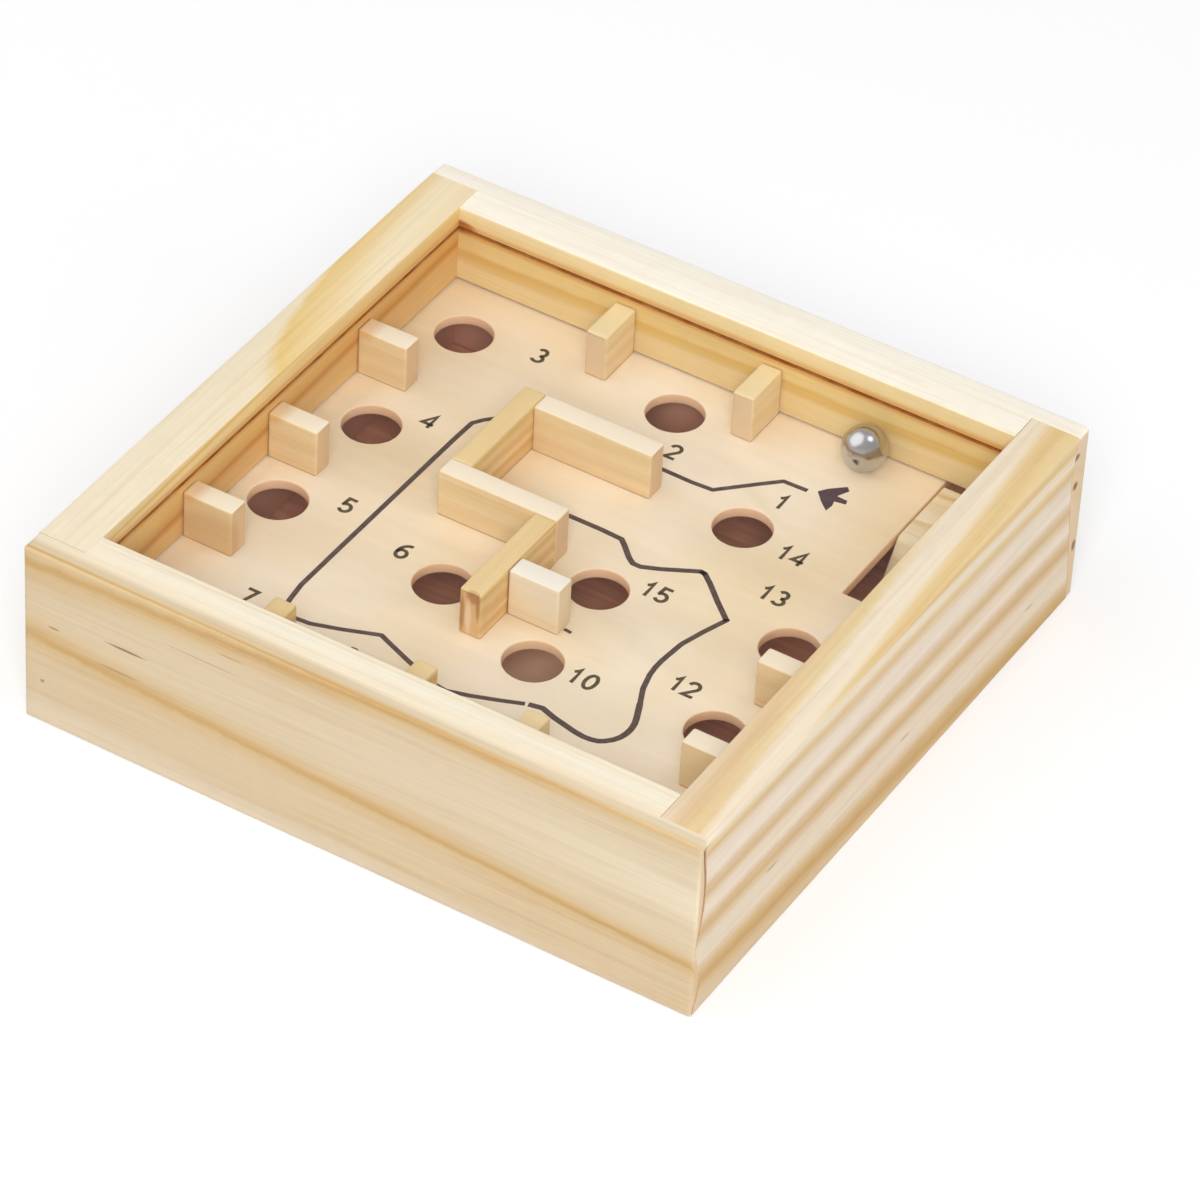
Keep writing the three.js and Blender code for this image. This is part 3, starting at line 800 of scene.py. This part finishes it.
# Each digit is a few strokes in a box one unit tall, as a plain single-stroke face has them.
strokes = {
    "0": [bow(0.30, 0.5, 0.26, 0.47, 90, 450)],
    "1": [[(0.10, 0.72), (0.24, 0.80), (0.34, 0.97), (0.34, 0.0)]],
    "2": [bow(0.29, 0.71, 0.25, 0.26, 170, -35) + [(0.05, 0.03), (0.57, 0.03)]],
    "3": [bow(0.28, 0.73, 0.22, 0.24, 150, -90), bow(0.28, 0.26, 0.26, 0.23, 90, -155)],
    "4": [[(0.44, 0.0), (0.44, 0.95), (0.03, 0.28), (0.60, 0.28)]],
    "5": [[(0.53, 0.97), (0.13, 0.97), (0.08, 0.52)] + bow(0.28, 0.31, 0.26, 0.28, 135, -150)],
    "6": [bow(0.30, 0.30, 0.25, 0.27, 90, 450), bow(0.50, 0.40, 0.45, 0.56, 85, 190)],
    "7": [[(0.04, 0.97), (0.56, 0.97), (0.24, 0.0)]],
    "8": [bow(0.30, 0.74, 0.21, 0.22, 90, 450), bow(0.30, 0.27, 0.26, 0.24, 90, 450)],
    "9": [bow(0.30, 0.67, 0.25, 0.27, 90, 450), bow(0.10, 0.57, 0.45, 0.56, 5, -95)],
}
digit_width = 0.6
digit_advance = 0.76
number_middles = {
    "1": (22.1, 32.3), "2": (1.0, 33.3), "3": (-30.3, 42.2), "4": (-36.1, 17.3), "5": (-35.3, -8.5),
    "6": (-21.7, -13.0), "7": (-36.0, -36.3), "8": (-15.1, -39.1), "9": (6.6, -12.6), "10": (18.4, -23.1),
    "11": (30.0, -40.3), "12": (32.5, -15.6), "13": (32.85, 11.4), "14": (30.25, 21.6), "15": (16.95, 1.4),
}
numbers = []
for word, (x, y) in number_middles.items():
    width = (digit_advance * (len(word) - 1) + digit_width) * digit_height
    for index, digit in enumerate(word):
        corner = np.array([x - width / 2 + index * digit_advance * digit_height, y - digit_height / 2])
        for stroke in strokes[digit]:
            numbers.append(ribbon(corner + digit_height * np.array(stroke), digit_stroke))

# A short dash shows at the spur's foot, beside the number that the spur hides.
numbers.append(ribbon([(9.6, -14.6), (11.0, -14.75)], digit_stroke))
put_print("printed_numbers", numbers, ink("number ink", "4E3F28", "645438"))

# Return ramp: a pine block on the panel under the slot, a flat at the board's level and a slope down
# to the panel's, up which the ball climbs back to the board. Sawn, with its arrises just broken, so
# its rings show a little more ragged than on the sanded walls.
ramp_low, ramp_high = (np.array(corner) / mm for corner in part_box("return_ramp"))
ramp_flat = 15.1
ramp_toe = 0.4
ramp_arris = 0.25
crest_round = 0.8
toe_round = 0.1
arris_stations = 5
ramp_stations = 8
block_pine = pine(
    "sawn pine, return ramp", (0, 20, 5), (1, 0.03, 0.01),
    [(10, "EAD7AC"), (21.0, "F1E2BE"), (23.6, "F3E4C2"), (24.3, "E6CB90"), (24.8, "F5E8CA"),
     (27.6, "F1E2BE"), (30.3, "F0DFB8"), (30.9, "E2C284"), (31.3, "F3E4C2"), (34.0, "EEDDB6"),
     (40, "E9D6AC")],
    wander=0.3, mottle=0.2)


def carried(outline, along, arris_size):
    """A solid from an outline of (across, up), carried over the places along. At both ends the outline
    shrinks along a quarter round of the arris size. Result: (stations, points, 3) of along, across, up."""
    outline = np.array(outline, float)
    before = outline - np.roll(outline, 1, axis=0)
    after = np.roll(outline, -1, axis=0) - outline
    before /= np.linalg.norm(before, axis=1)[:, None]
    after /= np.linalg.norm(after, axis=1)[:, None]
    mean = before + after
    mean /= np.linalg.norm(mean, axis=1)[:, None]
    lean = np.clip((mean * before).sum(axis=1), 0.4, 1)
    inward = np.column_stack([-mean[:, 1], mean[:, 0]]) / lean[:, None]
    depth = np.minimum(along - along[0], along[-1] - along)
    depth = np.clip(depth, 0, arris_size)
    shrink = arris_size - np.sqrt(arris_size ** 2 - (arris_size - depth) ** 2)
    section = outline[None] + inward[None] * shrink[:, None, None]
    places = np.broadcast_to(along[:, None, None], section.shape[:2] + (1,))
    return np.concatenate([places, section], axis=2)


def rounded(outline, sizes, steps=4):
    """The outline with each corner replaced by a round of its own size: a quadratic curve between the two
    points that lie the size away from the corner along its edges."""
    outline = np.array(outline, float)
    points = []
    for index, (corner, size) in enumerate(zip(outline, sizes)):
        if size == 0:
            points.append(corner)
            continue
        back_way = outline[index - 1] - corner
        on_way = outline[(index + 1) % len(outline)] - corner
        start = corner + size * back_way / np.linalg.norm(back_way)
        stop = corner + size * on_way / np.linalg.norm(on_way)
        share = np.linspace(0, 1, steps)[:, None]
        points += list((1 - share) ** 2 * start + 2 * share * (1 - share) * corner + share ** 2 * stop)
    return points


crest = ramp_high[1] - ramp_flat
(start, front, bottom), (stop, rear, level) = ramp_low, ramp_high
side = [(front, bottom), (rear, bottom), (rear, level), (crest, level), (front, bottom + ramp_toe)]
side = rounded(side, (0, 0, ramp_arris, crest_round, toe_round))
ease = ramp_arris * (1 - np.cos(np.linspace(0, np.pi / 2, arris_stations)))
along = np.concatenate([start + ease, np.linspace(start + 1, stop - 1, ramp_stations), stop - ease[::-1]])
points = carried(side, along, ramp_arris)
ramp = new_piece("return_ramp_block", points.reshape(-1, 3), tube_faces(*points.shape[:2]), block_pine)
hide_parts("return_ramp")
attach(ramp, "case")

# Fences: short and long lengths of 4 x 9 mm pine, sawn square, with the upper arrises just rubbed off,
# glued to the board. Each is cut by hand, so its faces bow by a few hundredths of a millimetre.
fence_arris = 0.38
fence_bow = 0.05
bow_wave = 3.7
fence_stations = 12

# Sawn pine is matt and faintly banded. Most lengths are honey coloured, some are golden all over with brown
# late wood at the sawn end, and the spur is nearly white. Every top is painted whiter than its sides, as
# painted light from above, and on most lengths it is nearly white. A brown tint at the foot and at the walls
# is partly where glue was wiped off and partly painted shade in the creases. The fences along the front also
# take a painted golden glow at their left ends by the wall, and painted shade on their faces near the front
# left corner.
pale_rings = [(60, "E4C796"), (79.0, "E8CEA0"), (80.4, "E2C492"), (82.0, "E9D0A4"), (83.6, "E3C696"),
              (85.5, "EAD2A6"), (87.0, "E5CA96"), (89.0, "EBD3A4"), (100, "EBD3A4")]
golden_rings = [(60, "E2BE80"), (78.0, "E5C48A"), (79.6, "DCB070"), (81.0, "E8CA96"), (82.6, "DBAE6A"),
                (84.0, "EACD9A"), (85.6, "DDB272"), (87.2, "E6C790"), (88.4, "DCB872"),
                (89.2, "E8CC94"), (90.0, "DAB068"), (91.0, "EAD2A0"), (100, "EAD2A0")]
white_rings = [(60, "ECD8B2"), (82.0, "EFDEBC"), (84.0, "EAD4AC"), (88.0, "F0E0C2"), (100, "F4E8D2")]
# The foot and seam tints are partly wiped glue and partly painted shade in the creases where pieces meet.
top, foot_glue_and_shade, seam_glue_and_shade = (0, 0, 1), ((0, 0, 20), (whole, whole, 0.35), "8E6038", 0.5), "9A6236"
# Painted light: a golden glow on the left ends of the fences by the wall.
left_painted_glow = ((-53, 0, 29.2), (3.8, whole, 2.6), "DCA24C", 0.5)
left_seam = ((-53, 0, 24), (0.45, whole, whole), seam_glue_and_shade, 0.5)
# Painted shade on the fence faces near the front left corner, where less light reaches them.
front_left_painted_shade = ((-46, -30, 23), (13, 3, 6), "BE8C52", 0.45)
back_seam = ((0, 52, 24), (whole, 0.5, whole), seam_glue_and_shade, 0.6)
spur_seam = ((0, -12.5, 24), (0.4, whole, whole), seam_glue_and_shade, 0.8)
end_grain = [((-0.6, -24.5, 26.4), (0.5, 1.0, 3.4), "A8703C", 0.7),
             ((-3.5, -24.5, 24.0), (0.6, 1.0, 5.0), "B07A44", 0.8),
             ((-1.5, -24.5, 28.0), (1.6, 1.0, 1.6), "A8703C", 0.75),
             ((-2.3, -24.5, 23.8), (0.7, 1.0, 4.4), "EBD2B4", 0.8)]
# The top tints below are painted light from above.
across_pine = pine("sawn pine, fences along the front", (0, 10, -60), (1, 0.01, 0.025), pale_rings,
                   wander=0.7, mottle=0.15, streak=0.22, end="DDBC94", faces=[(top, "MIX", "FDF0DA", 0.8)],
                   marks=[foot_glue_and_shade, left_painted_glow, left_seam, front_left_painted_shade])
deep_pine = pine("sawn pine, fences from front to back", (-14, 0, -60), (0.01, 1, -0.02), pale_rings,
                 wander=0.7, mottle=0.15, streak=0.22, end="E0C4A0", faces=[(top, "MIX", "F4DFAA", 0.75)],
                 marks=[foot_glue_and_shade, back_seam])
golden_pine = pine("sawn golden pine, fences from front to back", (-16, 0, -60), (0.012, 1, -0.03),
                   golden_rings, wander=0.5, mottle=0.1, end="DEB57C",
                   faces=[(top, "MIX", "F2D8A2", 0.6)], marks=[foot_glue_and_shade] + end_grain)
white_pine = pine("sawn white pine, spur", (0, 10, -60), (1, 0.01, -0.02), white_rings, wander=0.6,
                  streak=0.15, dash=0.1, end="E8D2AE", faces=[(top, "MIX", "FBF4E8", 0.7)],
                  marks=[foot_glue_and_shade, spur_seam])


def fence(node, seed):
    """One fence over its CAD node: a section with rounded upper arrises, carried along its length with both
    ends eased. Each side face is drawn in by 0 to fence_bow mm, along a slow sine whose start is random."""
    low, high = (np.array(corner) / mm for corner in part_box(node))
    deep = high[1] - low[1] > high[0] - low[0]
    start, stop = (low[1], high[1]) if deep else (low[0], high[0])
    near, far = (low[0], high[0]) if deep else (low[1], high[1])
    draw = np.random.default_rng(seed)
    sizes = fence_arris * draw.uniform(0.7, 1.3, 2)
    outline = [(near, low[2]), (far, low[2]), (far, high[2]), (near, high[2])]
    outline = rounded(outline, (0, 0, sizes[0], sizes[1]))
    ease = fence_arris * (1 - np.cos(np.linspace(0, np.pi / 2, arris_stations)))
    body = np.linspace(start + 1, stop - 1, fence_stations)
    along = np.concatenate([start + ease, body, stop - ease[::-1]])
    points = carried(outline, along, fence_arris)
    middle = (near + far) / 2
    wave = 1 - fence_bow / 2 * (1 + np.sin(along / bow_wave + draw.uniform(0, 6)))[:, None] / 2
    points[..., 1] = middle + (points[..., 1] - middle) * wave
    if deep:
        points = points[..., [1, 0, 2]]
        faces = [face[::-1] for face in tube_faces(*points.shape[:2])]
    else:
        faces = tube_faces(*points.shape[:2])
    return deep, points.reshape(-1, 3), faces


fences = [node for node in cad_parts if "_fence_" in node or node.startswith("centre_")]
for seed, node in enumerate(sorted(fences)):
    deep, points, faces = fence(node, seed)
    if node in ("centre_bar_left", "centre_bar_front") or node.startswith("front_fence"):
        wood = golden_pine
    else:
        wood = white_pine if node == "centre_spur" else deep_pine if deep else across_pine
    piece = new_piece(node + "_pine", points, faces, wood)
    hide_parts(node)
    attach(piece, "case")

# Ball: an 8 mm bearing ball, ground and polished steel, loose on the board.
ball_low, ball_high = (np.array(corner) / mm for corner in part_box("steel_ball"))
ball_middle = (ball_low + ball_high) / 2
ball_radius = (ball_high[2] - ball_low[2]) / 2

# Ground and polished steel mirrors the studio, softened by a fine haze of handling, in spots of 2.4 mm.
haze_to_metre = 420.0
ball_steel, tree, output = new_material("polished bearing steel")
place = add(tree, "TexCoord").outputs["Object"]
haze = add(tree, "TexNoise", {"Scale": haze_to_metre, "Detail": 3.0}, Vector=place)
wear = add(tree, "MapRange", {1: 0.3, 2: 0.7, 3: 0.18, 4: 0.25}, in_0=haze.outputs["Fac"])
tone = add(tree, "ValToRGB", in_0=haze.outputs["Fac"])
set_stops(tone, [(0, "B9B9BB"), (1, "D2D1CF")])
shader = add(tree, "BsdfPrincipled", {"Metallic": 1.0}, Base_Color=tone.outputs["Color"],
             Roughness=wear.outputs[0])
tree.links.new(shader.outputs[0], output.inputs["Surface"])

# A sphere on a grid of heights and turns; each pole's row shrinks to one point and is merged.
ball_rows, ball_columns = 49, 72
rise = np.linspace(-np.pi / 2, np.pi / 2, ball_rows)[:, None]
turn = np.linspace(0, 2 * np.pi, ball_columns, endpoint=False)[None, :]
points = ball_middle + ball_radius * np.stack(
    [np.cos(rise) * np.cos(turn), np.cos(rise) * np.sin(turn), np.sin(rise) * np.ones_like(turn)], axis=-1)
faces = tube_faces(ball_rows, ball_columns)[:-2]
ball = new_piece("bearing_ball", points.reshape(-1, 3), faces, ball_steel, crease=60)
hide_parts("steel_ball")
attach(ball, "ball")

# Window: a thin polished clear acrylic sheet that lies in the top grooves over the fences. It is too thin
# to bend what is seen through it, so each face lets light straight on and mirrors a share that grows with
# the slant, and soft smears of 17 mm dull the mirror a little.
smears_to_metre = 60.0
mirror_least, mirror_gain, mirror_power = 0.02, 0.48, 5.0
window_material, tree, output = new_material("polished clear acrylic")
place = add(tree, "TexCoord").outputs["Object"]
smear = add(tree, "TexNoise", {"Scale": smears_to_metre, "Detail": 2.0}, Vector=place)
polish = add(tree, "MapRange", {1: 0.35, 2: 0.65, 3: 0.015, 4: 0.03}, in_0=smear.outputs["Fac"])
mirror = add(tree, "BsdfGlossy", {"Color": (1, 1, 1, 1)}, Roughness=polish.outputs[0])
clear = add(tree, "BsdfTransparent", {"Color": (0.99, 0.99, 0.99, 1)})
slant = add(tree, "LayerWeight", {"Blend": 0.5}).outputs["Facing"]
steep = add(tree, "Math", {"operation": "POWER", 1: mirror_power}, in_0=slant)
share = add(tree, "Math", {"operation": "MULTIPLY_ADD", 1: mirror_gain, 2: mirror_least},
            in_0=steep.outputs[0])
pane = add(tree, "MixShader", in_0=share.outputs[0], in_1=clear.outputs[0], in_2=mirror.outputs[0])
tree.links.new(pane.outputs[0], output.inputs["Surface"])
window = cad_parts["clear_window"]
window.data.materials.clear()
window.data.materials.append(window_material)

# The bounds of the rendered pieces, without the floor.
bpy.context.view_layer.update()
low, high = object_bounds()
